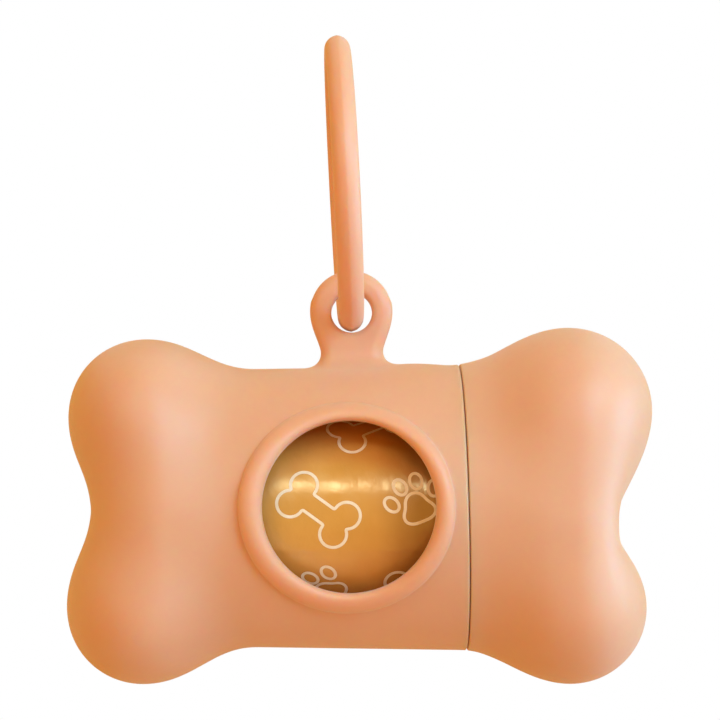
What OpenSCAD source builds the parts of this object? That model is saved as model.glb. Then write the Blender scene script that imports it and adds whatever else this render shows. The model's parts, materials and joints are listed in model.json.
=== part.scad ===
// Bone-shaped silicone dispenser for rolls of dog waste bags, hanging from a ring.
// Millimetres. X runs along the bone towards the end cap, Y away from the window, Z up.
// The origin is where a lead or a clip holds the ring: the top of the ring's inner side.

/* [Bag roll] */
// Diameter of a full roll of bags
roll_d = 32.4; // [28:0.2:36]
// Length of the roll along the bone
roll_len = 60; // [54:1:64]
// Outer diameter of the cardboard core
core_d = 16; // [12:0.5:20]
// Wall of the cardboard core
core_wall = 1.2; // [0.8:0.1:2]
// Air between one bag layer and the next
layer_gap = 0.02; // [0.01:0.01:0.03]
// Air under the roll where it rests on the sleeve
roll_rest_gap = 0.3; // [0.2:0.1:0.5]

/* [Sleeve and mouth] */
// Sideways room between the roll and the cap's sleeve
roll_play = 1.0; // [0.6:0.1:2]
// Wall of the cap's sleeve
sleeve_wall = 1.9; // [1.2:0.1:3]
// Depth that the sleeve reaches into the body
sleeve_depth = 4.4; // [3:0.2:5]
// Fit between the sleeve and the body's mouth, on the radius
sleeve_fit = 0.15; // [0.1:0.05:0.3]
// Wall of the body around its mouth
mouth_wall = 2.55; // [2:0.05:4]
// Step from the mouth's bore down to the cavity behind it, on the radius
mouth_step = 0.35; // [0.3:0.05:1]
// Clear depth of the mouth beyond the sleeve's edge
mouth_clear = 0.6; // [0.3:0.1:1.5]
// Length of the sleeve's root inside the cap
sleeve_root = 2.6; // [2:0.1:5]
// Width of the parting line between body and cap
parting_gap = 0.3; // [0.2:0.05:0.5]

/* [Bone] */
// Room between the roll's left end and the end wall
left_room = 6.9; // [5:0.1:9]
// Room between the roll's right end and the end wall
right_room = 7.5; // [5:0.1:9]
// Growth of the barrel's radius per millimetre towards the cap
barrel_taper = 0.014; // [0:0.002:0.02]
// Rounding of the barrel's left end
left_round = 13.3; // [8:0.1:14]
// Rounding of the barrel's right end
right_round = 10.4; // [8:0.1:14]
// Distance of the parting line from the window's axis
parting_x = 17.3; // [16.8:0.1:19]
// Share by which both ends bulge beyond the barrel in depth
end_bulge = 0.08; // [0:0.01:0.12]
// Distance along the bone over which that bulge grows
bulge_run = 12; // [10:0.5:14]

/* [Lobes] */
// Radius of both lobes at the body's end
left_lobe_r = 11.35; // [10:0.05:12.5]
// Distance of the left lobes' centres from the window's axis
left_lobe_x = 32.1; // [31:0.1:34]
// Depth of the upper left lobe's centre below the top of the barrel
left_top_sink = 7.0; // [6:0.1:8]
// Depth of the lower left lobe's centre above the bottom of the barrel
left_low_sink = 6.1; // [5:0.1:7]
// Radius of the upper lobe at the cap's end
right_top_r = 12.3; // [11:0.1:13]
// Radius of the lower lobe at the cap's end
right_low_r = 10.15; // [9:0.05:12]
// Distance of the right lobes' centres from the window's axis
right_lobe_x = 34.1; // [33:0.1:36]
// Depth of the upper right lobe's centre below the top of the barrel
right_top_sink = 6.5; // [5:0.1:8]
// Depth of the lower right lobe's centre above the bottom of the barrel
right_low_sink = 5.3; // [4:0.1:7]
// Depth of a lobe along Y as a multiple of its radius
lobe_stretch = 1.65; // [1.4:0.05:1.8]
// Width of the soft blend between the two left lobes
left_cleft_blend = 2.6; // [1:0.1:6]
// Width of the soft blend between the two right lobes
right_cleft_blend = 4.7; // [1:0.1:6]
// Width of the soft blend between the barrel and the left lobes
left_neck_blend = 7.3; // [4:0.1:10]
// Width of the soft blend between the barrel and the right lobes
right_neck_blend = 9.1; // [4:0.1:10]

/* [Window] */
// Radius of the round window that the bags are drawn through
window_r = 12.4; // [10:0.1:13]
// Width of the raised bead around the window
bead_w = 3.4; // [2:0.1:3.6]
// Height of the bead above the barrel
bead_h = 1.7; // [1:0.1:2.5]
// Depth of the bead's foot in the barrel's wall
bead_root = 1.2; // [0.8:0.1:1.6]

/* [Tab and ring] */
// Thickness of the tab
tab_t = 4.6; // [3:0.1:7]
// Radius of the tab's round head
tab_r = 6.3; // [5.5:0.1:8]
// Width of the tab's neck
tab_neck = 9.3; // [7:0.1:10.5]
// Height of the tab's hole above the barrel's top
tab_rise = 8.55; // [7.5:0.05:12]
// Radius of the tab's hole
tab_hole_r = 3.15; // [2.8:0.05:4]
// Thickness of the ring's round cord
ring_rod_d = 4.2; // [3:0.1:4.6]
// Radius of the ring, to the middle of its cord
ring_r = 20.6; // [18:0.1:24]
// Angle by which the hanging ring leans to the left
ring_lean = 3.3; // [0:0.1:6]
// Air between the ring's cord and the bottom of the tab's hole
ring_seat_gap = 0.3; // [0.2:0.05:0.4]
// Depth of the tab's foot in the barrel's wall
tab_root = 2.4; // [1.5:0.1:2.6]
// Widening of the tab's neck on each side at its foot
neck_flare = 1.6; // [0.8:0.1:2]

/* [Hidden] */

silicone = "#e3a67c";
card = "#b98d5e";
film = "#cd8232";
bags = 15;
round_fn = 96;

// The roll sits in the sleeve, the sleeve in the mouth and the mouth in the barrel.
roll_r = roll_d / 2;
core_r = core_d / 2;
sleeve_inner_r = roll_r + roll_play;
sleeve_outer_r = sleeve_inner_r + sleeve_wall;
mouth_r = sleeve_outer_r + sleeve_fit;
barrel_r = mouth_r + mouth_wall - barrel_taper * parting_x;
wall = mouth_wall + mouth_step;
roll_z = roll_rest_gap - roll_play;

// The barrel's ends stand off from the roll, which is centred behind the window.
barrel_left = -roll_len / 2 - left_room - wall;
barrel_right = roll_len / 2 + right_room + wall;
barrel_mid = (barrel_left + barrel_right) / 2;
cap_x = parting_x + parting_gap;

// Each lobe is [centre x, centre z, radius].
left_top = [-left_lobe_x, barrel_r - left_top_sink, left_lobe_r];
left_low = [-left_lobe_x, left_low_sink - barrel_r, left_lobe_r];
right_top = [right_lobe_x, barrel_r - right_top_sink, right_top_r];
right_low = [right_lobe_x, right_low_sink - barrel_r, right_low_r];

// Rays that trace the surface fan out from these two points on the axis.
left_hub = -21;
right_hub = 23;
sides = 48;
fan_steps = 12;
inner_fan_steps = 9;
tube_steps = 7;
inner_tube_steps = 3;
ray_near = 2;
ray_far = 60;
halvings = 16;

// The bead's section reaches a little into the window, whose bore then cuts it true.
bead_sides = 72;
bead_arc_steps = 6;
bead_overlap = 0.4;
cut_reach = 2 * barrel_r;

// The ring stands in the tab's hole and turns about the hole's axis.
tab_z = barrel_r + tab_rise;
tab_foot_z = barrel_r - tab_root;
ring_rod_r = ring_rod_d / 2;
seat_z = tab_z - tab_hole_r + ring_rod_r + ring_seat_gap;
lean = [-sin(ring_lean), 0, cos(ring_lean)];
held_point = [0, 0, seat_z] + (2 * ring_r - ring_rod_r) * lean;

// Soft minimum of two distances: equal surfaces melt together over the blend's width.
function soft_min(a, b, blend) =
    let (h = max(blend - abs(a - b), 0) / blend)
    min(a, b) - h * h * blend / 4;

function smooth_step(t) =
    let (c = min(max(t, 0), 1))
    c * c * (3 - 2 * c);

// Distance from a barrel with rounded ends around the X axis.
function barrel_distance(x, r) =
    let (
        radius = barrel_r + barrel_taper * x,
        edge = x < barrel_mid ? left_round : right_round,
        dx = abs(x - barrel_mid) - (barrel_right - barrel_left) / 2 + edge,
        dr = r - radius + edge
    )
    min(max(dx, dr), 0) + norm([max(dx, 0), max(dr, 0)]) - edge;

// Distance from one lobe, a ball drawn out along Y.
function lobe_distance(x, y, z, lobe) =
    norm([x - lobe[0], y / lobe_stretch, z - lobe[1]]) - lobe[2];

// Distance from the whole bone: zero on its skin, negative inside.
function bone_distance(x, y_real, z) =
    let (
        swell = smooth_step((abs(x) - cap_x) / bulge_run),
        y = y_real / (1 + end_bulge * swell),
        barrel = barrel_distance(x, norm([y, z])),
        top = x < 0 ? left_top : right_top,
        low = x < 0 ? left_low : right_low,
        cleft = x < 0 ? left_cleft_blend : right_cleft_blend,
        neck = x < 0 ? left_neck_blend : right_neck_blend
    )
    soft_min(barrel, soft_min(lobe_distance(x, y, z, top), lobe_distance(x, y, z, low), cleft), neck);

// Length of a ray from a point on the axis to where the distance reaches a level.
function ray_length(hub, ray, level, near, far, left) =
    left == 0 ? (near + far) / 2 :
    let (half = (near + far) / 2)
    bone_distance(hub + half * ray[0], half * ray[1], half * ray[2]) < level
        ? ray_length(hub, ray, level, half, far, left - 1)
        : ray_length(hub, ray, level, near, half, left - 1);

// Point of the surface at a level, seen from hub under a tilt from -X and a turn about X.
function skin_point(hub, tilt, turn, level) =
    let (
        ray = [-cos(tilt), sin(tilt) * sin(turn), sin(tilt) * cos(turn)],
        reach = ray_length(hub, ray, level, ray_near, ray_far, halvings)
    )
    [hub, 0, 0] + reach * ray;

function skin_ring(station, level) =
    [for (k = [0 : sides - 1]) skin_point(station[0], station[1], 360 * k / sides, level)];

// Stations [hub, tilt] of the rings from the left pole to the mouth, and from the cap to its pole.
function body_stations(fan, tube) = concat(
    [for (i = [1 : fan]) [left_hub, 90 * i / fan]],
    [for (i = [1 : tube]) [left_hub + (parting_x - left_hub) * i / tube, 90]]
);
function cap_stations(fan, tube) = concat(
    [for (i = [0 : tube - 1]) [cap_x + (right_hub - cap_x) * i / tube, 90]],
    [for (i = [0 : fan - 1]) [right_hub, 90 + 90 * i / fan]]
);

function reversed(list) = [for (i = [len(list) - 1 : -1 : 0]) list[i]];

function joined(rings) = [for (ring = rings) each ring];

// Closed skin through rings of equal length with one point at each end.
module ringed_solid(first, rings, last) {
    count = len(rings);
    end = 1 + count * sides;
    faces = concat(
        [for (k = [0 : sides - 1]) [0, 1 + (k + 1) % sides, 1 + k]],
        [for (i = [0 : count - 2], k = [0 : sides - 1]) let (
            a = 1 + i * sides + k,
            b = 1 + i * sides + (k + 1) % sides
        ) each [[a, b, a + sides], [b, b + sides, a + sides]]],
        [for (k = [0 : sides - 1]) [end, end - sides + k, end - sides + (k + 1) % sides]]
    );
    polyhedron(concat([first], joined(rings), [last]), faces);
}

// Hollow left part of the bone, open at the parting line.
module body_shell() {
    outer = [for (s = body_stations(fan_steps, tube_steps)) skin_ring(s, 0)];
    inner = [for (s = body_stations(inner_fan_steps, inner_tube_steps)) skin_ring(s, -wall)];
    ringed_solid(
        skin_point(left_hub, 0, 0, 0),
        concat(outer, reversed(inner)),
        skin_point(left_hub, 0, 0, -wall)
    );
}

// Hollow right part of the bone, open at the parting line.
module cap_shell() {
    outer = [for (s = cap_stations(fan_steps, inner_tube_steps)) skin_ring(s, 0)];
    inner = [for (s = cap_stations(inner_fan_steps, 2)) skin_ring(s, -wall)];
    ringed_solid(
        skin_point(right_hub, 180, 0, -wall),
        concat(reversed(inner), outer),
        skin_point(right_hub, 180, 0, 0)
    );
}

// Point of the bead: across is the distance from the window's axis, up the height above the barrel.
function bead_point(turn, across, up) =
    let (
        x = across * cos(turn),
        z = across * sin(turn),
        radius = barrel_r + barrel_taper * x + up
    )
    [x, -sqrt(radius * radius - z * z), z];

// Half-round bead that follows the barrel around the window.
module window_bead() {
    bead_half = (bead_w + bead_overlap) / 2;
    bead_mid = window_r + bead_w - bead_half;
    section = concat(
        [[bead_half, -bead_root]],
        [for (i = [0 : bead_arc_steps]) let (a = 180 * i / bead_arc_steps) [bead_half * cos(a), bead_h * sin(a)]],
        [[-bead_half, -bead_root]]
    );
    count = len(section);
    points = [for (k = [0 : bead_sides - 1], s = section) bead_point(360 * k / bead_sides, bead_mid + s[0], s[1])];
    faces = [for (k = [0 : bead_sides - 1], i = [0 : count - 1]) let (
        next = ((k + 1) % bead_sides) * count,
        a = k * count + i,
        b = k * count + (i + 1) % count,
        c = next + i,
        d = next + (i + 1) % count
    ) each [[a, b, c], [b, d, c]]];
    polyhedron(points, faces);
}

// Keyhole-shaped tab on top of the barrel, with its round hole.
module tab() {
    half = tab_neck / 2;
    neck_z = barrel_r + neck_flare;
    rotate([90, 0, 0]) linear_extrude(tab_t, center = true) difference() {
        union() {
            translate([0, tab_z]) circle(tab_r, $fn = round_fn);
            polygon([
                [-half, tab_z], [-half, neck_z], [-half - neck_flare, tab_foot_z],
                [half + neck_flare, tab_foot_z], [half, neck_z], [half, tab_z]
            ]);
        }
        translate([0, tab_z]) circle(tab_hole_r, $fn = round_fn);
    }
}

module along_x(x) {
    translate([x, 0, 0]) rotate([0, 90, 0]) children();
}

// Moves the bone's frame so that the held point is the origin.
module hung() {
    translate(-held_point) children();
}

module dispenser_body() {
    color(silicone) hung() difference() {
        union() {
            body_shell();
            window_bead();
            tab();
        }
        rotate([90, 0, 0]) cylinder(h = cut_reach, r = window_r, $fn = round_fn);
        along_x(parting_x - sleeve_depth - mouth_clear) cylinder(h = cut_reach, r = mouth_r, $fn = round_fn);
    }
}

module end_cap() {
    root_r = mouth_r + wall / 2;
    color(silicone) hung() union() {
        cap_shell();
        rotate([0, 90, 0]) rotate_extrude($fn = round_fn) polygon([
            [sleeve_inner_r, parting_x - sleeve_depth],
            [sleeve_outer_r, parting_x - sleeve_depth],
            [sleeve_outer_r, cap_x],
            [root_r, cap_x],
            [root_r, cap_x + sleeve_root],
            [sleeve_inner_r, cap_x + sleeve_root]
        ]);
    }
}

module hanging_ring() {
    color(silicone) hung() translate([0, 0, seat_z] + ring_r * lean) rotate([0, -ring_lean, 0])
        rotate([0, 90, 0]) rotate_extrude($fn = round_fn) translate([ring_r, 0]) circle(ring_rod_r, $fn = round_fn);
}

// Tube of the roll, around the roll's own axis.
module roll_tube(outer, inner) {
    hung() translate([-roll_len / 2, 0, roll_z]) rotate([0, 90, 0]) difference() {
        cylinder(h = roll_len, r = outer, $fn = round_fn);
        translate([0, 0, -1]) cylinder(h = roll_len + 2, r = inner, $fn = round_fn);
    }
}

module roll_core() {
    color(card) roll_tube(core_r, core_r - core_wall);
}

// Radius outside a number of bags counted from the core; each bag takes up the same volume.
function wound_r(count) = sqrt(core_r * core_r + (roll_r * roll_r - core_r * core_r) * count / bags);

// One bag, a layer of the roll; bag 1 is the outermost.
module bag(number) {
    color(film) roll_tube(wound_r(bags + 1 - number), wound_r(bags - number) + layer_gap);
}

hanging_ring();
dispenser_body();
end_cap();
roll_core();
bag(1);  // bag_01
bag(2);  // bag_02
bag(3);  // bag_03
bag(4);  // bag_04
bag(5);  // bag_05
bag(6);  // bag_06
bag(7);  // bag_07
bag(8);  // bag_08
bag(9);  // bag_09
bag(10);  // bag_10
bag(11);  // bag_11
bag(12);  // bag_12
bag(13);  // bag_13
bag(14);  // bag_14
bag(15);  // bag_15
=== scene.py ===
"""Looks of a bone-shaped silicone bag dispenser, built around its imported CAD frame.

Shapes are worked out in millimetres in the bone's own frame: X along the bone from the window's
axis towards the cap, Y away from the window, Z up from the barrel's axis. place() turns them into
metres in the part's frame.
"""
import json
import math

import bmesh
import bpy
import numpy as np
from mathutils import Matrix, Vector


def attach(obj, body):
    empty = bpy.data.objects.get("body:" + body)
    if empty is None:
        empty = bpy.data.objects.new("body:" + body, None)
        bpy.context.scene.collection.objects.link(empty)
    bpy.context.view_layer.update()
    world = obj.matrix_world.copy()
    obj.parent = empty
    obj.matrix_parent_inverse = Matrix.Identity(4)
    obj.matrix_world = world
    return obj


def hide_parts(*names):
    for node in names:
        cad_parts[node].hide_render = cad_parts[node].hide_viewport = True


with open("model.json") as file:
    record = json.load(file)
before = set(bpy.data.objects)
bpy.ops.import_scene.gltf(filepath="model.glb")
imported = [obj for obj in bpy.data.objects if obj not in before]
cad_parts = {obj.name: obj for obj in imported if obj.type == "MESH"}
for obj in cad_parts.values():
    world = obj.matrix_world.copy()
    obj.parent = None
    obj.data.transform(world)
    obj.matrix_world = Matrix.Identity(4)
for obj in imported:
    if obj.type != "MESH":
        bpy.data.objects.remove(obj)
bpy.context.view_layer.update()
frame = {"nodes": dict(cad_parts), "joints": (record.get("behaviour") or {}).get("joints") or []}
JOINTS = {joint["name"]: joint for joint in frame["joints"]}

MM = 0.001

# ---------------------------------------------------------------- sizes

# Roll, sleeve, mouth, wall, parting and barrel, as in the part's source.
ROLL_R = 16.2
ROLL_LEN = 60.0
ROLL_Z = -0.7
SLEEVE_INNER_R = 17.2
SLEEVE_OUTER_R = 19.1
SLEEVE_DEPTH = 4.4
SLEEVE_ROOT = 2.6
MOUTH_R = 19.25
MOUTH_CLEAR = 0.6
WALL = 2.9
PARTING_X = 17.3
PARTING_GAP = 0.3
CAP_X = PARTING_X + PARTING_GAP
MOUTH_START = PARTING_X - SLEEVE_DEPTH - MOUTH_CLEAR

BARREL_TAPER = 0.014
PARTING_R = 21.8
BARREL_R = PARTING_R - BARREL_TAPER * PARTING_X
END_BULGE = 0.08
BULGE_RUN = 12.0
LOBE_STRETCH = 1.65

# Ends, lobes, clefts and necks lie up to 1.4 mm off the part's source, to follow the outline seen
# from the front more closely. Each lobe is centre x, centre z, radius.
BARREL_LEFT = -38.7
BARREL_RIGHT = 39.33
BARREL_MID = (BARREL_LEFT + BARREL_RIGHT) / 2
LEFT_ROUND = 12.44
RIGHT_ROUND = 6.91
LEFT_TOP = (-31.64, BARREL_R - 7.26, 11.53)
LEFT_LOW = (-31.53, 6.3 - BARREL_R, 11.65)
RIGHT_TOP = (33.53, BARREL_R - 6.76, 12.79)
RIGHT_LOW = (33.63, 6.42 - BARREL_R, 11.54)
LEFT_CLEFT = 1.0
RIGHT_CLEFT = 4.4
LEFT_NECK = 6.94
RIGHT_NECK = 7.14

# The right cleft sits a little low, and the barrel's top rises a little beside the tab.
CLEFT_DROP = 1.7
CLEFT_SPAN = 8.0
DROP_START = 22.0
DROP_RUN = 14.0
TOP_RISE = 0.5
TOP_MID = 9.5
TOP_RUN = 5.5
TOP_LOW = 15.0
TOP_FADE = 5.0

# The window and the tab, as in the part's source.
WINDOW_R = 12.4
BEAD_W = 3.4
BEAD_H = 1.7

TAB_T = 4.6
TAB_R = 6.3
TAB_NECK = 9.3
TAB_Z = BARREL_R + 8.55
TAB_HOLE_R = 3.15
RING_ROD_R = 2.1

# The ring is 20.6 mm and leans 3.3 degrees in the part's source, with no yaw or shift.
RING_R = 20.9
RING_LEAN = math.radians(3.05)
RING_YAW = math.radians(1.2)
RING_X = 0.08
RING_SEAT_GAP = 0.3
SEAT_Z = TAB_Z - TAB_HOLE_R + RING_ROD_R + RING_SEAT_GAP

HINGE = Vector(JOINTS["swing"]["pos_m"])
BONE_ORIGIN = np.array([HINGE.x, HINGE.y, HINGE.z - TAB_Z * MM])

# ---------------------------------------------------------------- the bone's surface


def soft_min(a, b, blend):
    """Minimum of two distances that melts together where they are about equal."""
    h = np.maximum(blend - np.abs(a - b), 0) / blend
    return np.minimum(a, b) - h * h * blend / 4


def soft_max(a, b, blend):
    return -soft_min(-a, -b, blend)


def smooth_step(t):
    t = np.clip(t, 0, 1)
    return t * t * (3 - 2 * t)


def barrel_distance(x, r):
    """Distance from a slightly conical barrel with rounded ends around the X axis."""
    edge = np.where(x < BARREL_MID, LEFT_ROUND, RIGHT_ROUND)
    dx = np.abs(x - BARREL_MID) - (BARREL_RIGHT - BARREL_LEFT) / 2 + edge
    dr = r - BARREL_R - BARREL_TAPER * x + edge
    inside = np.minimum(np.maximum(dx, dr), 0)
    return inside + np.hypot(np.maximum(dx, 0), np.maximum(dr, 0)) - edge


def lobe_distance(x, y, z, lobe):
    """Distance from one lobe, a ball drawn out along Y."""
    return np.sqrt((x - lobe[0]) ** 2 + (y / LOBE_STRETCH) ** 2 + (z - lobe[1]) ** 2) - lobe[2]


def bone_distance(x, y, z):
    """Distance from the whole bone: zero on its skin, negative inside."""
    rise = TOP_RISE * np.exp(-((x - TOP_MID) / TOP_RUN) ** 2)
    z = z - rise * smooth_step((z - TOP_LOW) / TOP_FADE)
    drop = CLEFT_DROP * smooth_step((x - DROP_START) / DROP_RUN)
    z = z + drop * np.exp(-(z / CLEFT_SPAN) ** 2)
    y = y / (1 + END_BULGE * smooth_step((np.abs(x) - CAP_X) / BULGE_RUN))
    barrel = barrel_distance(x, np.hypot(y, z))
    left = soft_min(lobe_distance(x, y, z, LEFT_TOP), lobe_distance(x, y, z, LEFT_LOW), LEFT_CLEFT)
    right = soft_min(lobe_distance(x, y, z, RIGHT_TOP), lobe_distance(x, y, z, RIGHT_LOW), RIGHT_CLEFT)
    return np.where(x < 0, soft_min(barrel, left, LEFT_NECK), soft_min(barrel, right, RIGHT_NECK))


LEFT_HUB = -21.0
RIGHT_HUB = 23.0
SIDES = 224
RAY_NEAR = 2.0
RAY_FAR = 60.0
HALVINGS = 36
POLE_TILT = 1e-6


def skin_ring(hub, tilt, level, sides=SIDES):
    """Ring of skin points at a level, seen from a hub on the axis under a tilt from -X."""
    turn = np.linspace(0, 2 * np.pi, sides, endpoint=False)
    ray = np.stack([
        np.full(sides, -math.cos(tilt)),
        math.sin(tilt) * np.sin(turn),
        math.sin(tilt) * np.cos(turn),
    ])
    near = np.full(sides, RAY_NEAR)
    far = np.full(sides, RAY_FAR)
    for _ in range(HALVINGS):
        half = (near + far) / 2
        inside = bone_distance(hub + half * ray[0], half * ray[1], half * ray[2]) < level
        near = np.where(inside, half, near)
        far = np.where(inside, far, half)
    points = near * ray
    points[0] += hub
    return points.T


def round_ring(x, r):
    """Circle of points around the bone's axis."""
    turn = np.linspace(0, 2 * np.pi, SIDES, endpoint=False)
    return np.stack([np.full(SIDES, x), r * np.sin(turn), r * np.cos(turn)], axis=1)


def fan_tilts(steps, right=False):
    """Tilts from just off a pole to square with the axis, or on to just off the other pole."""
    tilts = [math.pi / 2 * i / steps for i in range(1, steps + 1)]
    return [math.pi - tilt for tilt in reversed(tilts)] if right else tilts


# ---------------------------------------------------------------- meshes


def place(points):
    """Millimetres in the bone's frame to metres in the part's frame."""
    return np.asarray(points, float) * MM + BONE_ORIGIN


def mesh_piece(name, points, faces, body, material, replaces=(), closed=True):
    """A mesh object from points in millimetres, riding on a body."""
    mesh = bpy.data.meshes.new(name)
    mesh.from_pydata(place(points).tolist(), [], [list(map(int, face)) for face in faces])
    if closed:
        work = bmesh.new()
        work.from_mesh(mesh)
        bmesh.ops.recalc_face_normals(work, faces=work.faces)
        work.to_mesh(mesh)
        work.free()
    mesh.polygons.foreach_set("use_smooth", [True] * len(mesh.polygons))
    mesh.materials.append(material)
    piece = bpy.data.objects.new(name, mesh)
    bpy.context.scene.collection.objects.link(piece)
    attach(piece, body)
    if replaces:
        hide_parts(*replaces)
    return piece


def loft(rings, closed=False):
    """Points and quads through rings of equal length."""
    count, sides = len(rings), len(rings[0])
    spans = count if closed else count - 1
    start = np.arange(spans)[:, None] * sides
    after = (np.arange(spans)[:, None] + 1) % count * sides
    side = np.arange(sides)[None, :]
    turn = (side + 1) % sides
    quads = np.stack([start + side, start + turn, after + turn, after + side], axis=-1)
    return np.concatenate(rings), quads.reshape(-1, 4)


def skin_stations(start, end, step=0.6):
    """Evenly spaced places along the axis."""
    return np.linspace(start, end, max(2, round(abs(end - start) / step) + 1)).tolist()


def barrel_radius(x):
    return BARREL_R + BARREL_TAPER * x


FAN = 64
EDGE_R = 0.35
CAP_EDGE_R = 0.25
EDGE_STEPS = 6
GAP_CREEP = 0.08
BODY_END = PARTING_X + GAP_CREEP
CAP_START = CAP_X - GAP_CREEP
MOUTH_FACE = (1.4, 0.8)
SLEEVE_FACE = (1.4, 0.7, 0.2)
SLEEVE_FILLET = 0.06
SLEEVE_FROM = 0.2
SLANT = 0.025
SLANT_SHIFT = 0.15
SLANT_RUN = 4.5


def quarter(count):
    """Angles over a quarter turn, the first left out."""
    return [math.pi / 2 * (i + 1) / count for i in range(count)]


def slanted(points):
    """The points with the parting, and what lies near it, leaning a little to the left at the top."""
    points = np.array(points)
    run = np.abs(points[:, 0] - (BODY_END + CAP_START) / 2) / SLANT_RUN
    near = 1 - smooth_step(run)
    points[:, 0] -= near * (SLANT_SHIFT + SLANT * points[:, 2])
    return points


def body_rings():
    """Rings from the left pole over the skin, round the mouth and back along the inside."""
    square = math.pi / 2
    rings = [skin_ring(LEFT_HUB, tilt, 0) for tilt in fan_tilts(FAN)]
    last = BODY_END - EDGE_R
    rings += [skin_ring(x, square, 0) for x in skin_stations(LEFT_HUB, last)[1:]]
    for a in quarter(EDGE_STEPS):
        x = last + EDGE_R * math.sin(a)
        rings.append(skin_ring(x, square, EDGE_R * (math.cos(a) - 1)))
    for out in MOUTH_FACE + (EDGE_R,):
        rings.append(round_ring(BODY_END, MOUTH_R + out))
    for a in quarter(EDGE_STEPS):
        x = BODY_END - EDGE_R * (1 - math.cos(a))
        rings.append(round_ring(x, MOUTH_R + EDGE_R * (1 - math.sin(a))))
    rings += [round_ring(x, MOUTH_R) for x in skin_stations(BODY_END - EDGE_R, MOUTH_START)[1:]]
    rings += [skin_ring(x, square, -WALL) for x in skin_stations(MOUTH_START, LEFT_HUB)]
    rings += [skin_ring(LEFT_HUB, tilt, -WALL) for tilt in reversed(fan_tilts(FAN)[:-1])]
    return rings


def pole(hub, right, level):
    """The point of a level straight out from a hub along the axis."""
    tilt = math.pi - POLE_TILT if right else POLE_TILT
    return skin_ring(hub, tilt, level, 4).mean(axis=0)


def cap_rings():
    """Rings from the right pole over the skin, round the sleeve and back along the inside."""
    square = math.pi / 2
    first = CAP_START + CAP_EDGE_R
    tilts = fan_tilts(FAN, right=True)
    rings = [skin_ring(RIGHT_HUB, tilt, 0) for tilt in reversed(tilts)]
    rings += [skin_ring(x, square, 0) for x in skin_stations(RIGHT_HUB, first)[1:]]
    for a in quarter(EDGE_STEPS):
        x = first - CAP_EDGE_R * math.sin(a)
        rings.append(skin_ring(x, square, CAP_EDGE_R * (math.cos(a) - 1)))
    for out in SLEEVE_FACE:
        rings.append(round_ring(CAP_START, SLEEVE_OUTER_R + out))
    tip = PARTING_X - SLEEVE_DEPTH
    rings.append(round_ring(CAP_START - SLEEVE_FILLET, SLEEVE_OUTER_R + SLEEVE_FILLET))
    start = CAP_START - SLEEVE_FROM
    rings += [round_ring(x, SLEEVE_OUTER_R) for x in skin_stations(start, tip + EDGE_R)]
    for a in quarter(EDGE_STEPS):
        x = tip + EDGE_R * (1 - math.sin(a))
        rings.append(round_ring(x, SLEEVE_OUTER_R + EDGE_R * (math.cos(a) - 1)))
    for a in [0] + quarter(EDGE_STEPS):
        x = tip + EDGE_R * (1 - math.cos(a))
        rings.append(round_ring(x, SLEEVE_INNER_R + EDGE_R * (1 - math.sin(a))))
    root = CAP_X + SLEEVE_ROOT
    rings += [round_ring(x, SLEEVE_INNER_R) for x in skin_stations(tip + EDGE_R, root)[1:]]
    rings += [skin_ring(x, square, -WALL) for x in skin_stations(root, RIGHT_HUB)]
    rings += [skin_ring(RIGHT_HUB, tilt, -WALL) for tilt in tilts[1:]]
    return rings


# ---------------------------------------------------------------- tab


TAB_BLEND = 3.0
TAB_NECK_BLEND = 2.6
TAB_ROUND = 1.75
TAB_HOLE_ROUND = 1.0
TAB_X = 0.12
TAB_HOLE_X = 0.2
TAB_RISE = 0.2
TAB_GRID = 0.26
TAB_BOX_X = 14.0
TAB_BOX_Y = 8.0
TAB_BOX_UNDER = 4.5
TAB_BOX_OVER = 1.0
TAB_FOOT = 4.0
TAB_MARGIN = 0.1
NUDGES = 4
TINY = 1e-3
LEAST_SLOPE = 0.05


def tab_distance(x, y, z):
    """Distance from the tab: a slab with well-rounded sides and a hole with a softened edge."""
    eye = np.hypot(x - TAB_X, z - TAB_Z - TAB_RISE) - TAB_R
    neck = np.maximum(np.abs(x - 2 * TAB_X) - TAB_NECK / 2, z - TAB_Z)
    across = soft_min(eye, neck, TAB_NECK_BLEND) + TAB_ROUND
    deep = np.abs(y) - TAB_T / 2 + TAB_ROUND
    inside = np.minimum(np.maximum(across, deep), 0)
    slab = inside + np.hypot(np.maximum(across, 0), np.maximum(deep, 0)) - TAB_ROUND
    return soft_max(slab, TAB_HOLE_R - np.hypot(x - TAB_HOLE_X, z - TAB_Z), TAB_HOLE_ROUND)


def tab_and_bone(x, y, z):
    return soft_min(tab_distance(x, y, z), bone_distance(x, y, z), TAB_BLEND)


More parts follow.
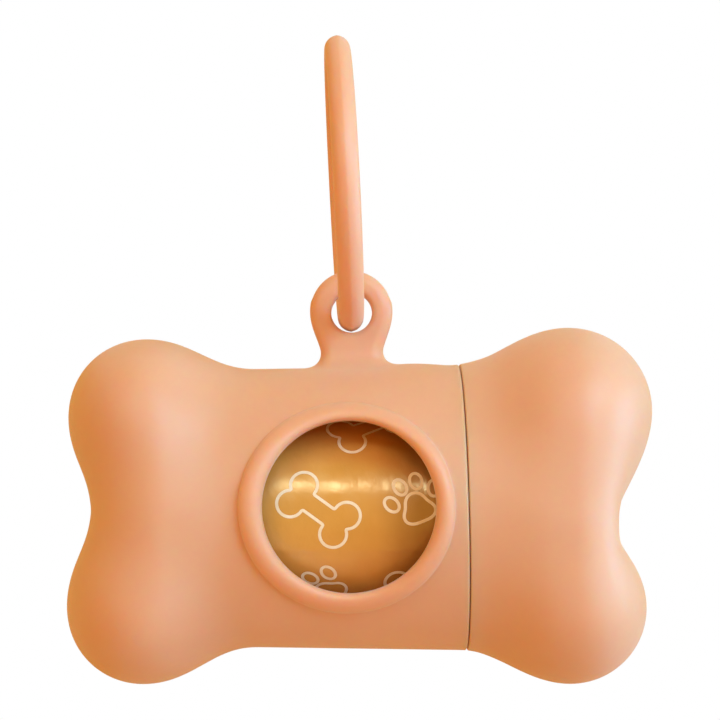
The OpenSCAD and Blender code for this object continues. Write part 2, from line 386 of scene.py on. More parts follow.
def net_surface(field, low, high, step):
    """Quads on the zero level of a field, one point to each grid cell that the level crosses."""
    axes = [np.arange(a, b + step, step) for a, b in zip(low, high)]
    grid = np.stack(np.meshgrid(*axes, indexing="ij"), axis=-1)
    value = field(grid[..., 0], grid[..., 1], grid[..., 2])
    solid = value < 0
    cells = tuple(n - 1 for n in solid.shape)
    total = np.zeros(cells, int)
    for i in (0, 1):
        for j in (0, 1):
            for k in (0, 1):
                total += solid[i:i + cells[0], j:j + cells[1], k:k + cells[2]]
    crossed = (total > 0) & (total < 8)
    number = np.full(cells, -1)
    number[crossed] = np.arange(crossed.sum())
    points = np.argwhere(crossed) * step + np.array(low) + step / 2
    for _ in range(NUDGES):
        here = field(*points.T)
        slope = np.stack([
            (field(*(points + TINY * unit).T) - field(*(points - TINY * unit).T)) / (2 * TINY)
            for unit in np.eye(3)
        ], axis=1)
        size = np.maximum((slope ** 2).sum(axis=1), LEAST_SLOPE)
        points = points - np.clip(here / size, -step, step)[:, None] * slope
    faces = []
    for axis in range(3):
        u, v = (axis + 1) % 3, (axis + 2) % 3
        head = np.take(solid, range(1, solid.shape[axis]), axis)
        tail = np.take(solid, range(solid.shape[axis] - 1), axis)
        for outward in (True, False):
            edge = (tail & ~head) if outward else (head & ~tail)
            spots = np.argwhere(edge)
            spots = spots[(spots[:, u] > 0) & (spots[:, v] > 0)]
            spots = spots[(spots[:, u] < cells[u]) & (spots[:, v] < cells[v])]
            corner = []
            for du, dv in ((0, 0), (1, 0), (1, 1), (0, 1)):
                at = spots.copy()
                at[:, u] -= du
                at[:, v] -= dv
                corner.append(number[tuple(at.T)])
            faces.append(np.stack(corner if outward else corner[::-1], axis=1))
    return points, np.concatenate(faces)


def without_loose(points, faces):
    """Drops the points that no face uses."""
    used = np.unique(np.concatenate([np.asarray(face) for face in faces]))
    number = np.full(len(points), -1)
    number[used] = np.arange(len(used))
    return points[used], [number[face].tolist() for face in faces]


# ---------------------------------------------------------------- window bead


BEAD_TURNS = 288
BEAD_STEPS = 26
BEAD_SKIRT = 0.32
BEAD_FLARE = ((0.2, 0.015), (0.08, 0.07))
BEAD_FOOT = 0.16
BEAD_FULLNESS = 0.92
HOLE_WIDER = 0.28
HOLE_SHIFT = 0.1
HOLE_LEVELS = (-0.3, -0.8, -1.4, -2.0)
RIM_TRIM = 0.05
RIM_SHIFT = 0.38
RIM_FLAT = 0.26
WINDOW_MARGIN = 0.05
LIP_STEPS = 5
LIP_R = 0.35
LIP_REACH = WINDOW_R + 1.0


def on_skin(turn, across, up):
    """Point at a distance from the window's axis and a height above the barrel's skin."""
    x = across * math.cos(turn)
    z = across * math.sin(turn)
    return (x, -math.sqrt((barrel_radius(x) + up) ** 2 - z * z), z)


def hole_radius(turn):
    """The window's edge, measured from the axis: a hair wider than the opening behind it."""
    return WINDOW_R + HOLE_WIDER - HOLE_SHIFT * np.cos(turn) + HOLE_SHIFT * np.sin(turn)


def rim_radius(turn):
    """Outer edge of the rim, which is broader on the left and a little flatter than round."""
    return WINDOW_R + BEAD_W - RIM_TRIM - RIM_SHIFT * np.cos(turn) - RIM_FLAT * np.sin(turn) ** 2


def bead_profile(turn):
    """Section of the window's rim as (distance from the axis, height above the skin)."""
    hole = float(hole_radius(turn))
    rim = float(rim_radius(turn))
    half = (rim - hole) / 2
    mid = (rim + hole) / 2
    section = [(rim + BEAD_SKIRT, 0.0)] + [(rim + out, up) for out, up in BEAD_FLARE]
    for i in range(BEAD_STEPS + 1):
        a = math.pi * i / BEAD_STEPS
        up = BEAD_FOOT + (BEAD_H - BEAD_FOOT) * max(math.sin(a), 0) ** BEAD_FULLNESS
        section.append((mid + half * math.cos(a), up))
    for up in HOLE_LEVELS + (LIP_R - WALL,):
        section.append((hole, up))
    for a in quarter(LIP_STEPS):
        section.append((hole + LIP_R * (1 - math.cos(a)), LIP_R * (1 - math.sin(a)) - WALL))
    section.append((LIP_REACH, -WALL))
    return section


def bead_mesh():
    """The window's rim, from its skirt on the skin over the crest to the lip inside."""
    rings = []
    for i in range(BEAD_TURNS):
        turn = 2 * math.pi * i / BEAD_TURNS
        rings.append(np.array([on_skin(turn, across, up) for across, up in bead_profile(turn)]))
    points = np.concatenate(rings)
    count = len(rings[0])
    faces = []
    for i in range(BEAD_TURNS):
        a = i * count
        b = (i + 1) % BEAD_TURNS * count
        faces += [[a + k, b + k, b + k + 1, a + k + 1] for k in range(count - 1)]
    return points, np.array(faces)


# ---------------------------------------------------------------- silicone pieces


def joined(parts):
    """One list of points and faces from several."""
    points, faces, start = [], [], 0
    for part_points, part_faces in parts:
        points.append(part_points)
        faces += [[int(k) + start for k in face] for face in part_faces]
        start += len(part_points)
    return np.concatenate(points), faces


def open_loops(faces):
    """Loops of points along the edges that only one face has."""
    sides = set()
    for face in faces:
        for k, start in enumerate(face):
            sides.add((start, face[(k + 1) % len(face)]))
    after = {start: end for start, end in sides if (end, start) not in sides}
    loops = []
    while after:
        start, here = after.popitem()
        loop = [start]
        while here != start:
            loop.append(here)
            here = after.pop(here)
        loops.append(loop)
    return loops


def bridge(flat, outer, inner):
    """Triangles between two loops, one round the other, laid out flat around the middle."""
    def turned(loop):
        turns = np.unwrap(np.arctan2(flat[loop][:, 1], flat[loop][:, 0]))
        if turns[-1] < turns[0]:
            loop = loop[::-1]
        turns = np.arctan2(flat[loop][:, 1], flat[loop][:, 0])
        first = int(np.argmin(turns))
        loop = loop[first:] + loop[:first]
        turns = np.unwrap(np.arctan2(flat[loop][:, 1], flat[loop][:, 0]))
        return loop + loop[:1], list(turns) + [turns[0] + 2 * math.pi]

    def upright(a, b, c):
        (ax, ay), (bx, by), (cx, cy) = flat[a], flat[b], flat[c]
        return (bx - ax) * (cy - ay) - (by - ay) * (cx - ax) < 0

    outer, outer_turns = turned(outer)
    inner, inner_turns = turned(inner)
    i, j, faces = 0, 0, []
    while i < len(outer) - 1 or j < len(inner) - 1:
        step_outer = i < len(outer) - 1
        step_inner = j < len(inner) - 1
        if step_outer and step_inner:
            outer_good = upright(outer[i], inner[j], outer[i + 1])
            inner_good = upright(outer[i], inner[j], inner[j + 1])
            if outer_good == inner_good:
                step_outer = outer_turns[i + 1] <= inner_turns[j + 1]
            else:
                step_outer = outer_good
        if step_outer:
            faces.append([outer[i], inner[j], outer[i + 1]])
            i += 1
        else:
            faces.append([outer[i], inner[j], inner[j + 1]])
            j += 1
    return faces


def closed_loft(rings, first, last):
    """Loft closed by a point at each end, as points and a list of faces."""
    points, quads = loft(rings)
    sides = len(rings[0])
    count = len(points)
    faces = quads.tolist()
    for k in range(sides):
        after = (k + 1) % sides
        faces.append([count, after, k])
        faces.append([count + 1, count - sides + k, count - sides + after])
    return np.vstack([points, [first], [last]]), faces


def body_mesh():
    """Skin, window rim and tab as one closed surface."""
    points, faces = closed_loft(body_rings(), pole(LEFT_HUB, False, 0), pole(LEFT_HUB, False, -WALL))
    x, y, z = points.T
    around = np.hypot(x, z)
    skirt = rim_radius(np.arctan2(z, x)) + BEAD_SKIRT
    outside = np.hypot(y, z) > barrel_radius(x) - WALL / 2
    in_window = (y < 0) & (around < np.where(outside, skirt, LIP_REACH) + WINDOW_MARGIN)
    under_tab = outside & (z > 0) & (tab_distance(x, y, z) < TAB_BLEND + TAB_MARGIN)
    cut = in_window | under_tab
    skin_faces = [face for face in faces if not cut[face].any()]
    low = (-TAB_BOX_X, -TAB_BOX_Y, BARREL_R - TAB_BOX_UNDER)
    high = (TAB_BOX_X, TAB_BOX_Y, TAB_Z + TAB_R + TAB_BOX_OVER)
    tab_points, tab_faces = net_surface(tab_and_bone, low, high, TAB_GRID)
    keep = (tab_distance(*tab_points.T)[tab_faces] < TAB_BLEND).all(axis=1)
    keep &= (tab_points[tab_faces][:, :, 2] > BARREL_R - TAB_FOOT).all(axis=1)
    tab = without_loose(tab_points, tab_faces[keep])
    points, faces = joined([without_loose(points, skin_faces), tab, bead_mesh()])
    seams = {}
    for loop in open_loops(faces):
        middle = points[loop].mean(axis=0)
        reach = float(np.hypot(points[loop][:, 0], points[loop][:, 2]).mean())
        if middle[2] > WINDOW_R:
            seams.setdefault("tab", []).append(loop)
        elif reach > WINDOW_R + BEAD_W / 2:
            seams.setdefault("rim", []).append(loop)
        else:
            seams.setdefault("lip", []).append(loop)
    for seam, pair in seams.items():
        flat = points[:, [0, 1]] if seam == "tab" else points[:, [0, 2]]
        pair.sort(key=lambda loop: -float(np.hypot(*flat[loop].T).mean()))
        faces += bridge(flat, *pair)
    return slanted(points), faces


def cap_mesh():
    points, faces = closed_loft(cap_rings(), pole(RIGHT_HUB, True, 0), pole(RIGHT_HUB, True, -WALL))
    return slanted(points), faces


# ---------------------------------------------------------------- ring


RING_STEPS = 256
CORD_SIDES = 48
RIDGE_RISE = 0.13
RIDGE_W = 0.4
CORD_CROWD = 0.42


def cord_radius(a):
    """Radius of the ring's cord at an angle from its outer side, with a low moulding ridge."""
    outer = abs(math.atan2(math.sin(a), math.cos(a)))
    ridge = math.exp(-outer / RIDGE_W) + math.exp((outer - math.pi) / RIDGE_W)
    return RING_ROD_R - RIDGE_RISE * (1 - ridge)


def ring_mesh():
    """The closed ring, with its cord's points crowded towards the moulding ridge."""
    up = np.array([-math.sin(RING_LEAN), 0, math.cos(RING_LEAN)])
    side = np.array([math.cos(RING_LEAN), 0, math.sin(RING_LEAN)])
    back = np.array([0.0, 1.0, 0.0])
    depth = math.cos(RING_YAW) * back - math.sin(RING_YAW) * side
    axis = math.cos(RING_YAW) * side + math.sin(RING_YAW) * back
    centre = np.array([RING_X, 0, SEAT_Z]) + RING_R * up
    angles = []
    for k in range(CORD_SIDES):
        a = 2 * math.pi * k / CORD_SIDES
        angles.append(a - CORD_CROWD * math.sin(2 * a) / 2)
    rings = []
    for i in range(RING_STEPS):
        t = 2 * math.pi * i / RING_STEPS
        out = math.cos(t) * up + math.sin(t) * depth
        rings.append(np.array([
            centre + out * (RING_R + cord_radius(a) * math.cos(a)) + axis * cord_radius(a) * math.sin(a)
            for a in angles
        ]))
    return loft(rings, closed=True)


# ---------------------------------------------------------------- bag roll


BAGS = 15
CORE_R = 8.0
LAYER_GAP = 0.02
FILM_TURNS = 240
FILM_WAVE = 0.11
WAVE_RANGE = 6.0
FILM_SINK = 0.07
FILM_STEP = 0.5
FILM_EDGE_R = 0.16
FILM_EDGE_STEPS = 4
FLAP_TURN = math.radians(248)
FLAP_FADE = math.radians(9)
FLAP_RISE = 0.07


def wound_r(count):
    """Radius outside a number of bags, counted from the core."""
    return math.sqrt(CORE_R ** 2 + (ROLL_R ** 2 - CORE_R ** 2) * count / BAGS)


def film_r(x, turn):
    """Radius of the outermost film: shallow waves, and the free end lying as a step."""
    wave = (
        math.sin(0.42 * x + 1.3 + 1.6 * math.sin(3 * turn + 0.4))
        + 0.8 * math.sin(0.83 * x - 5 * turn + 0.9)
        + 0.7 * math.sin(0.27 * x + 7 * turn + 2.2 * math.sin(0.21 * x))
        + 0.5 * math.sin(1.37 * x + 2 * math.sin(4 * turn) + 2.0)
    )
    lag = (turn - FLAP_TURN) % (2 * math.pi)
    flap = FLAP_RISE * (1 - smooth_step(lag / FLAP_FADE)) if lag < FLAP_FADE else 0.0
    return ROLL_R - FILM_SINK - FILM_WAVE * (0.5 - wave / WAVE_RANGE) + flap


def roll_point(x, turn, r):
    """Point at a turn and radius around the roll's own axis."""
    return (x, r * math.sin(turn), ROLL_Z + r * math.cos(turn))


def film_mesh():
    """Outermost bag: its waved outside, rolled edges and inside."""
    half = ROLL_LEN / 2
    turns = [2 * math.pi * k / FILM_TURNS for k in range(FILM_TURNS)]
    inner = wound_r(BAGS - 1) + LAYER_GAP
    rings = []
    soft = FILM_EDGE_R
    for x in skin_stations(-half + soft, half - soft, FILM_STEP):
        rings.append(np.array([roll_point(x, t, float(film_r(x, t))) for t in turns]))
    for a in quarter(FILM_EDGE_STEPS):
        x = half - soft * (1 - math.sin(a))
        rings.append(np.array([
            roll_point(x, t, float(film_r(half - soft, t)) - soft * (1 - math.cos(a))) for t in turns
        ]))
    for x in (half, 0.0, -half):
        rings.append(np.array([roll_point(x, t, inner) for t in turns]))
    for a in quarter(FILM_EDGE_STEPS)[::-1]:
        x = -half + soft * (1 - math.sin(a))
        rings.append(np.array([
            roll_point(x, t, float(film_r(soft - half, t)) - soft * (1 - math.cos(a))) for t in turns
        ]))
    return loft(rings, closed=True)


# ---------------------------------------------------------------- print on the film


LINE_W = 0.46
INK_LIFT = 0.02
INK_STEP = 0.16
LEAST_INK_POINTS = 12
SOFTENINGS = 3

BONE_LEN = 11.8
BONE_LOBE_R = 2.0
BONE_SHAFT = 1.4
BONE_SPREAD = 0.86
BONE_LOBE_STEPS = 22

PAD_STEPS = 48
PAD_R = 2.15
PAD_THREEFOLD = 0.32
PAD_TWOFOLD = 0.16
PAD_SQUASH = 0.86
PAD_DROP = 1.1
TOE_STEPS = 24
TOE_W = 0.82
TOE_H = 1.14

# Each toe is centre x, centre z, lean.
TOES = ((-3.0, 0.75, 0.42), (-1.12, 2.5, 0.14), (1.12, 2.5, -0.14), (3.0, 0.75, -0.42))


def arc(r, start, end, steps):
    """Points along an arc around the origin."""
    turns = [start + (end - start) * i / steps for i in range(steps + 1)]
    return [(r * math.cos(turn), r * math.sin(turn)) for turn in turns]


def bone_outline():
    """Closed outline of a plain dog bone."""
    a = BONE_LEN / 2 - BONE_LOBE_R
    b = BONE_LOBE_R * BONE_SPREAD
    start = math.pi + math.asin((b - BONE_SHAFT) / BONE_LOBE_R)
    end = -math.asin(b / BONE_LOBE_R)
    line = []
    for sx, sz in ((1, 1), (1, -1), (-1, -1), (-1, 1)):
        lobe_line = arc(BONE_LOBE_R, start, end, BONE_LOBE_STEPS)
        if sx * sz < 0:
            lobe_line = lobe_line[::-1]
        line += [(sx * (a + px), sz * (b + pz)) for px, pz in lobe_line]
    return [line]


def paw_outline(size):
    """Outlines of a paw print: one pad and four toes."""
    pad = []
    for i in range(PAD_STEPS):
        a = 2 * math.pi * i / PAD_STEPS
        r = PAD_R + PAD_THREEFOLD * math.cos(3 * (a - math.pi / 2)) - PAD_TWOFOLD * math.cos(2 * a)
        pad.append((size * r * math.cos(a), size * (PAD_SQUASH * r * math.sin(a) - PAD_DROP)))
    toes = []
    for cx, cz, lean in TOES:
        toe = []
        for i in range(TOE_STEPS):
            a = 2 * math.pi * i / TOE_STEPS
            px = TOE_W * math.cos(a)
            pz = TOE_H * math.sin(a)
            toe.append((
                size * (cx + px * math.cos(lean) - pz * math.sin(lean)),
                size * (cz + px * math.sin(lean) + pz * math.cos(lean)),
            ))
        toes.append(toe)
    return [pad] + toes


def even_line(line):
    """The closed line with even spacing and slightly rounded corners."""
    line = np.array(line + line[:1])
    run = np.concatenate([[0], np.cumsum(np.linalg.norm(np.diff(line, axis=0), axis=1))])
    at = np.linspace(0, run[-1], max(LEAST_INK_POINTS, round(run[-1] / INK_STEP)), endpoint=False)
    line = np.stack([np.interp(at, run, line[:, 0]), np.interp(at, run, line[:, 1])], axis=1)
    for _ in range(SOFTENINGS):
        line = (np.roll(line, 1, axis=0) + 2 * line + np.roll(line, -1, axis=0)) / 4
    return line


def ribbon(line, width):
    """Quads along both sides of a closed line in the flat."""
    tangent = np.roll(line, -1, axis=0) - np.roll(line, 1, axis=0)
    tangent /= np.linalg.norm(tangent, axis=1)[:, None]
    side = np.stack([-tangent[:, 1], tangent[:, 0]], axis=1) * width / 2
    count = len(line)
    faces = [[k, (k + 1) % count, count + (k + 1) % count, count + k] for k in range(count)]
    return np.concatenate([line - side, line + side]), faces


# Motifs as (kind, place along the roll, place around it from the window's middle, turn in degrees).
MOTIF_ROWS = 7
MOTIF_PITCH = 2 * math.pi * ROLL_R / MOTIF_ROWS
MOTIF_SPAN = 54.0
MOTIFS = [
    ("bone", -4.6, 0.4, -36),
    ("paw", 9.6, 1.6, 22),
    ("bone", 22.4, -0.8, 48),
    ("paw", -20.2, -0.6, -24),
]
PAW_SIZE = 1.12
ROW_SHIFT = 7.4
PAIR_SHIFT = 13.5
ROW_TURN = 67
ROLL_END_CLEAR = 0.8


def print_mesh():
    """Rows of outline bones and paws round the roll, laid on the waved film."""
    parts = []
    for row in range(MOTIF_ROWS):
        shift = ROW_SHIFT * (row % 2) + PAIR_SHIFT * (row // 2)
        for kind, along, around, turn in MOTIFS:
            outline = bone_outline() if kind == "bone" else paw_outline(PAW_SIZE)
            spin = math.radians(turn + ROW_TURN * row)
            middle = (along + shift + MOTIF_SPAN / 2) % MOTIF_SPAN - MOTIF_SPAN / 2
            for line in outline:
                flat = [
                    (
                        middle + px * math.cos(spin) - pz * math.sin(spin),
                        around + px * math.sin(spin) + pz * math.cos(spin),
                    )
                    for px, pz in line
                ]
                if max(abs(px) for px, _ in flat) > ROLL_LEN / 2 - ROLL_END_CLEAR:
                    continue
                flat_points, faces = ribbon(even_line(flat), LINE_W)
                round_points = []
                for px, pz in flat_points:
                    angle = -math.pi / 2 + (pz + row * MOTIF_PITCH) / ROLL_R
                    round_points.append(roll_point(px, angle, float(film_r(px, angle)) + INK_LIFT))
                parts.append((np.array(round_points), np.array(faces)))
    return joined(parts)


# ---------------------------------------------------------------- materials


NOISE_LOW = 0.3
NOISE_HIGH = 0.7


class Nodes:
    """Short calls for building one material's node tree."""

    def __init__(self, name):
        self.material = bpy.data.materials.new(name)
        self.material.use_nodes = True
        self.tree = self.material.node_tree
        self.shader = self.tree.nodes["Principled BSDF"]
        place_node = self.add("ShaderNodeTexCoord")
        self.spot = place_node.outputs["Object"]

    def add(self, kind, **values):
        node = self.tree.nodes.new(kind)
        for key, value in values.items():
            setattr(node, key, value)
        return node

    def set(self, node, **values):
        for key, value in values.items():
            node.inputs[key.replace("_", " ")].default_value = value
        return node

    def join(self, start, end):
        self.tree.links.new(start, end)
        return start

    def stretched(self, scale):
        mapping = self.add("ShaderNodeMapping")
        mapping.inputs["Scale"].default_value = scale
        self.join(self.spot, mapping.inputs["Vector"])
        return mapping.outputs["Vector"]

    def noise(self, scale, detail=2.0, rough=0.5, spot=None):
        node = self.set(self.add("ShaderNodeTexNoise"), Scale=scale, Detail=detail, Roughness=rough)
        self.join(spot or self.spot, node.inputs["Vector"])
        return node.outputs["Fac"]

    def ramp(self, factor, stops):
        node = self.add("ShaderNodeValToRGB")
        elements = node.color_ramp.elements
        while len(elements) < len(stops):
            elements.new(0.5)
        for element, (position, colour) in zip(elements, stops):
            element.position = position
            element.color = (*colour, 1.0)
        self.join(factor, node.inputs["Fac"])
        return node.outputs["Color"]

    def span(self, factor, low, high):
        """The useful middle of a noise, spread over low to high."""
        node = self.add("ShaderNodeMapRange")
        node.inputs["To Min"].default_value = low
        node.inputs["To Max"].default_value = high
        node.inputs["From Min"].default_value = NOISE_LOW
        node.inputs["From Max"].default_value = NOISE_HIGH
        self.join(factor, node.inputs["Value"])
        return node.outputs["Result"]

    def bump(self, height, distance, strength=1.0, onto=None):
        node = self.set(self.add("ShaderNodeBump"), Strength=strength, Distance=distance)
        self.join(height, node.inputs["Height"])
        if onto:
            self.join(onto, node.inputs["Normal"])
        return node.outputs["Normal"]


def linear(r, g, b):
    """sRGB 0..255 to linear 0..1."""
    return tuple((v / 255 / 12.92 if v <= 10.31 else ((v / 255 + 0.055) / 1.055) ** 2.4) for v in (r, g, b))


PEACH = (232, 180, 145)
PEACH_SHADE = (229, 175, 139)


def silicone(name):
    """Soft matt silicone: even colour with faint clouding, a fine skin and a velvet edge."""
    n = Nodes(name)
    cloud = n.noise(70.0, 3.0)
    colour = n.ramp(cloud, [(NOISE_LOW, linear(*PEACH_SHADE)), (NOISE_HIGH, linear(*PEACH))])
    n.join(colour, n.shader.inputs["Base Color"])
    n.set(n.shader, Subsurface_Weight=0.8, Subsurface_Scale=0.0035, IOR=1.45, Specular_IOR_Level=0.5)
    n.shader.inputs["Subsurface Radius"].default_value = (1.0, 0.28, 0.1)
    n.set(n.shader, Sheen_Weight=0.3, Sheen_Roughness=0.5, Coat_Weight=0.2, Coat_Roughness=0.45)
    n.shader.inputs["Sheen Tint"].default_value = (1.0, 0.93, 0.86, 1.0)
    n.join(n.span(n.noise(900.0, 3.0), 0.44, 0.54), n.shader.inputs["Roughness"])
    fine = n.bump(n.noise(5200.0, 2.0), 0.00001, 0.35)
    n.join(n.bump(n.noise(260.0, 2.0), 0.00006, 0.5, fine), n.shader.inputs["Normal"])
    return n.material


# Bands of darker film tone that repeat along the roll. Their scale and phase put a dark band on the right
# of the window, where the rim's shade falls: painted shade.
FILM_SHADE_BAND_SCALE = 8.73
FILM_SHADE_BAND_PHASE = 3.06


def film_material():
    """Thin amber plastic, wound tight: satin, with stretch marks round the roll, and painted shade in
    darker bands along it.
    """
    n = Nodes("amber_film")
    streak = n.noise(420.0, 4.0, 0.6, n.stretched((1.0, 0.12, 0.12)))
    blot = n.noise(150.0, 3.0)
    crease = n.noise(480.0, 4.0, 0.55, n.stretched((1.0, 0.6, 0.6)))
    # Painted shade: bands that darken the film where the window's rim shades it, mixed between the film's
    # own tone and a darker copy.
    shade_band = n.add("ShaderNodeTexWave", wave_type="BANDS", bands_direction="X", wave_profile="SIN")
    n.set(shade_band, Scale=FILM_SHADE_BAND_SCALE, Phase_Offset=FILM_SHADE_BAND_PHASE)
    n.set(shade_band, Distortion=1.2, Detail=1.0, Detail_Scale=0.6)
    n.join(n.spot, shade_band.inputs["Vector"])
    film_tone = n.ramp(blot, [(0.32, linear(218, 154, 70)), (0.7, linear(230, 166, 82))])
    painted_shade_tone = n.ramp(blot, [(0.32, linear(164, 120, 62)), (0.7, linear(178, 130, 68))])
    mix = n.add("ShaderNodeMix", data_type="RGBA")
    n.join(n.ramp(shade_band.outputs["Fac"], [(0.2, (0.0, 0.0, 0.0)), (0.7, (1.0, 1.0, 1.0))]), mix.inputs[0])
    n.join(painted_shade_tone, mix.inputs[6])
    n.join(film_tone, mix.inputs[7])
    n.join(mix.outputs[2], n.shader.inputs["Base Color"])
    n.set(n.shader, IOR=1.85, Specular_IOR_Level=1.0, Subsurface_Weight=0.12, Subsurface_Scale=0.0012)
    n.shader.inputs["Specular Tint"].default_value = (1.0, 0.86, 0.55, 1.0)
    n.shader.inputs["Subsurface Radius"].default_value = (1.0, 0.6, 0.25)
    n.join(n.span(streak, 0.17, 0.27), n.shader.inputs["Roughness"])
    fine = n.bump(streak, 0.00003, 0.5)
    n.join(n.bump(crease, 0.0001, 1.0, fine), n.shader.inputs["Normal"])
    return n.material


def ink_material():
    """Cream ink, a little uneven."""
    n = Nodes("cream_print")
    patch = n.noise(800.0, 3.0)
    colour = n.ramp(patch, [(0.3, linear(246, 222, 184)), (0.75, linear(255, 240, 214))])
    n.join(colour, n.shader.inputs["Base Color"])
    n.set(n.shader, Roughness=0.45)
    n.join(n.bump(patch, 0.00001, 0.4), n.shader.inputs["Normal"])
    return n.material


def card_material():
    """Grey-brown board with fibres."""
    n = Nodes("brown_card")
    fibre = n.noise(1500.0, 5.0, 0.65, n.stretched((0.25, 1.0, 1.0)))
    colour = n.ramp(fibre, [(0.3, linear(150, 112, 74)), (0.72, linear(198, 158, 112))])
    n.join(colour, n.shader.inputs["Base Color"])
    n.set(n.shader, Roughness=0.9, Specular_IOR_Level=0.2)
    n.join(n.bump(fibre, 0.00008, 0.6), n.shader.inputs["Normal"])
    return n.material


SILICONE = silicone("peach_silicone")
CAP_SILICONE = silicone("peach_silicone_cap")
RING_SILICONE = silicone("peach_silicone_ring")
FILM = film_material()
INK = ink_material()
CARD = card_material()

# ---------------------------------------------------------------- the object

body_points, body_faces = body_mesh()
mesh_piece("body_skin", body_points, body_faces, "dispenser", SILICONE, ["dispenser_body"])
cap_points, cap_faces = cap_mesh()
mesh_piece("cap_skin", cap_points, cap_faces, "cap", CAP_SILICONE, ["end_cap"])
ring_points, ring_faces = ring_mesh()
mesh_piece("soft_ring", ring_points, ring_faces, "ring", RING_SILICONE, ["hanging_ring"])
film_points, film_faces = film_mesh()
mesh_piece("outer_bag", film_points, film_faces, "bag_roll", FILM, ["bag_01"])
print_points, print_faces = print_mesh()
mesh_piece("bag_print", print_points, print_faces, "bag_roll", INK, closed=False)


def finish_node(name, material):
    """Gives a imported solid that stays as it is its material."""
    node = frame["nodes"][name]
    node.data.materials.clear()
    node.data.materials.append(material)
    for face in node.data.polygons:
        face.material_index = 0


for number in range(2, BAGS + 1):
    finish_node(f"bag_{number:02d}", FILM)
finish_node("roll_core", CARD)

# ---------------------------------------------------------------- studio

FRAME_PX = 720
FOCAL_PX = 2200.0
EYE_DROP_PX = 147.5
SENSOR = 36.0
EYE = (1.5, -340.0, 0.0)
EYE_TILT = math.atan(EYE_DROP_PX / FOCAL_PX)

camera_data = bpy.data.cameras.new("camera")
camera_data.sensor_width = SENSOR
camera_data.sensor_fit = "HORIZONTAL"
camera_data.lens = FOCAL_PX / FRAME_PX * SENSOR
camera_data.clip_start = 0.01
camera = bpy.data.objects.new("camera", camera_data)
bpy.context.scene.collection.objects.link(camera)
camera.location = place([EYE])[0]
camera.rotation_euler = (math.pi / 2 + EYE_TILT, 0.0, 0.0)
bpy.context.scene.camera = camera


# The light is coloured: cool lamps in warm ambient light. A grey face reads neutral on the middle
# and right of the front only, and strongly orange at the left end and underneath.
COOL = (0.45, 1.0, 1.45)
COOL_SIDE = (0.42, 1.0, 1.6)
COOL_LOW = (0.42, 1.0, 1.5)
PALE_STRIP = (0.9, 0.95, 0.85)
AIM = (0.0, 0.0, 8.0)


def softbox(name, spot, power, width, height, colour):
    """Area lamp in millimetres from the middle of the barrel, aimed just above it."""
    data = bpy.data.lights.new(name, "AREA")
    data.shape = "RECTANGLE"
    data.size = width * MM
    data.size_y = height * MM
    data.energy = power
    data.color = colour
    lamp = bpy.data.objects.new(name, data)
    bpy.context.scene.collection.objects.link(lamp)
    lamp.location = place([spot])[0]
    target = place([AIM])[0]
    lamp.rotation_euler = (Vector(target) - lamp.location).to_track_quat("-Z", "Y").to_euler()
    return lamp


softbox("key", (364, -305, 297), 1.15, 260, 260, COOL)
softbox("front_side", (263, -456, 192), 0.7, 220, 220, COOL)
softbox("side", (556, 49, 49), 1.05, 260, 260, COOL_SIDE)
softbox("low_side", (468, -270, -145), 0.5, 260, 260, COOL_LOW)
back = softbox("back", (0, 640, 0), 1.7, 200, 200, COOL)
back.visible_glossy = False
softbox("top_strip", (-150, -485, 280), 0.55, 340, 50, PALE_STRIP)

AMBIENT = (1.0, 0.53, 0.11, 1.0)
AMBIENT_LEVEL = 0.72
WHITE = (1.0, 1.0, 1.0, 1.0)


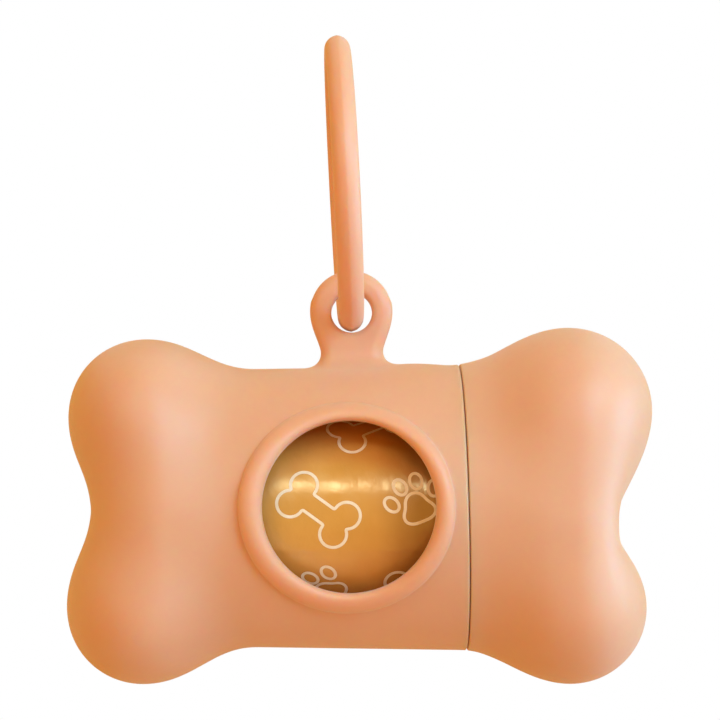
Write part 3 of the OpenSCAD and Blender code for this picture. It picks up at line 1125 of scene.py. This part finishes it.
def studio_world():
    """Warm ambient light that the camera sees as plain white."""
    world = bpy.data.worlds.new("studio")
    world.use_nodes = True
    nodes = world.node_tree.nodes
    links = world.node_tree.links
    ambient = nodes["Background"]
    ambient.inputs["Color"].default_value = AMBIENT
    ambient.inputs["Strength"].default_value = AMBIENT_LEVEL
    white = nodes.new("ShaderNodeBackground")
    white.inputs["Color"].default_value = WHITE
    white.inputs["Strength"].default_value = 1.0
    path = nodes.new("ShaderNodeLightPath")
    mix = nodes.new("ShaderNodeMixShader")
    links.new(path.outputs["Is Camera Ray"], mix.inputs["Fac"])
    links.new(ambient.outputs["Background"], mix.inputs[1])
    links.new(white.outputs["Background"], mix.inputs[2])
    links.new(mix.outputs["Shader"], nodes["World Output"].inputs["Surface"])
    return world


bpy.context.scene.world = studio_world()

FLOOR_Z = -600.0
FLOOR_HALF = 1500.0
FLOOR_GLOW = 0.84
FLOOR_SHADE = (0.15, 0.2, 0.3)
FLOOR_BOUNCE = (0.9, 0.66, 0.42)
FLOOR_ROUGHNESS = 0.9


def white_floor():
    """Glow and a little diffuse shade to the camera, a warm matt floor to everything else."""
    material = bpy.data.materials.new("white_floor")
    material.use_nodes = True
    nodes = material.node_tree.nodes
    links = material.node_tree.links
    shader = nodes["Principled BSDF"]
    shader.inputs["Base Color"].default_value = (*FLOOR_BOUNCE, 1.0)
    shader.inputs["Roughness"].default_value = FLOOR_ROUGHNESS
    glow = nodes.new("ShaderNodeEmission")
    glow.inputs["Strength"].default_value = FLOOR_GLOW
    shaded = nodes.new("ShaderNodeBsdfDiffuse")
    shaded.inputs["Color"].default_value = (*FLOOR_SHADE, 1.0)
    seen = nodes.new("ShaderNodeAddShader")
    links.new(glow.outputs["Emission"], seen.inputs[0])
    links.new(shaded.outputs["BSDF"], seen.inputs[1])
    path = nodes.new("ShaderNodeLightPath")
    mix = nodes.new("ShaderNodeMixShader")
    links.new(path.outputs["Is Camera Ray"], mix.inputs["Fac"])
    links.new(shader.outputs["BSDF"], mix.inputs[1])
    links.new(seen.outputs["Shader"], mix.inputs[2])
    links.new(mix.outputs["Shader"], nodes["Material Output"].inputs["Surface"])
    return material


floor_mesh = bpy.data.meshes.new("floor")
quarters = [(-1, -1), (1, -1), (1, 1), (-1, 1)]
floor_corners = place([(sx * FLOOR_HALF, sy * FLOOR_HALF, FLOOR_Z) for sx, sy in quarters])
floor_mesh.from_pydata(floor_corners.tolist(), [], [(0, 1, 2, 3)])
floor_mesh.materials.append(white_floor())
floor = bpy.data.objects.new("floor", floor_mesh)
bpy.context.scene.collection.objects.link(floor)

bpy.context.scene.view_settings.view_transform = "Standard"
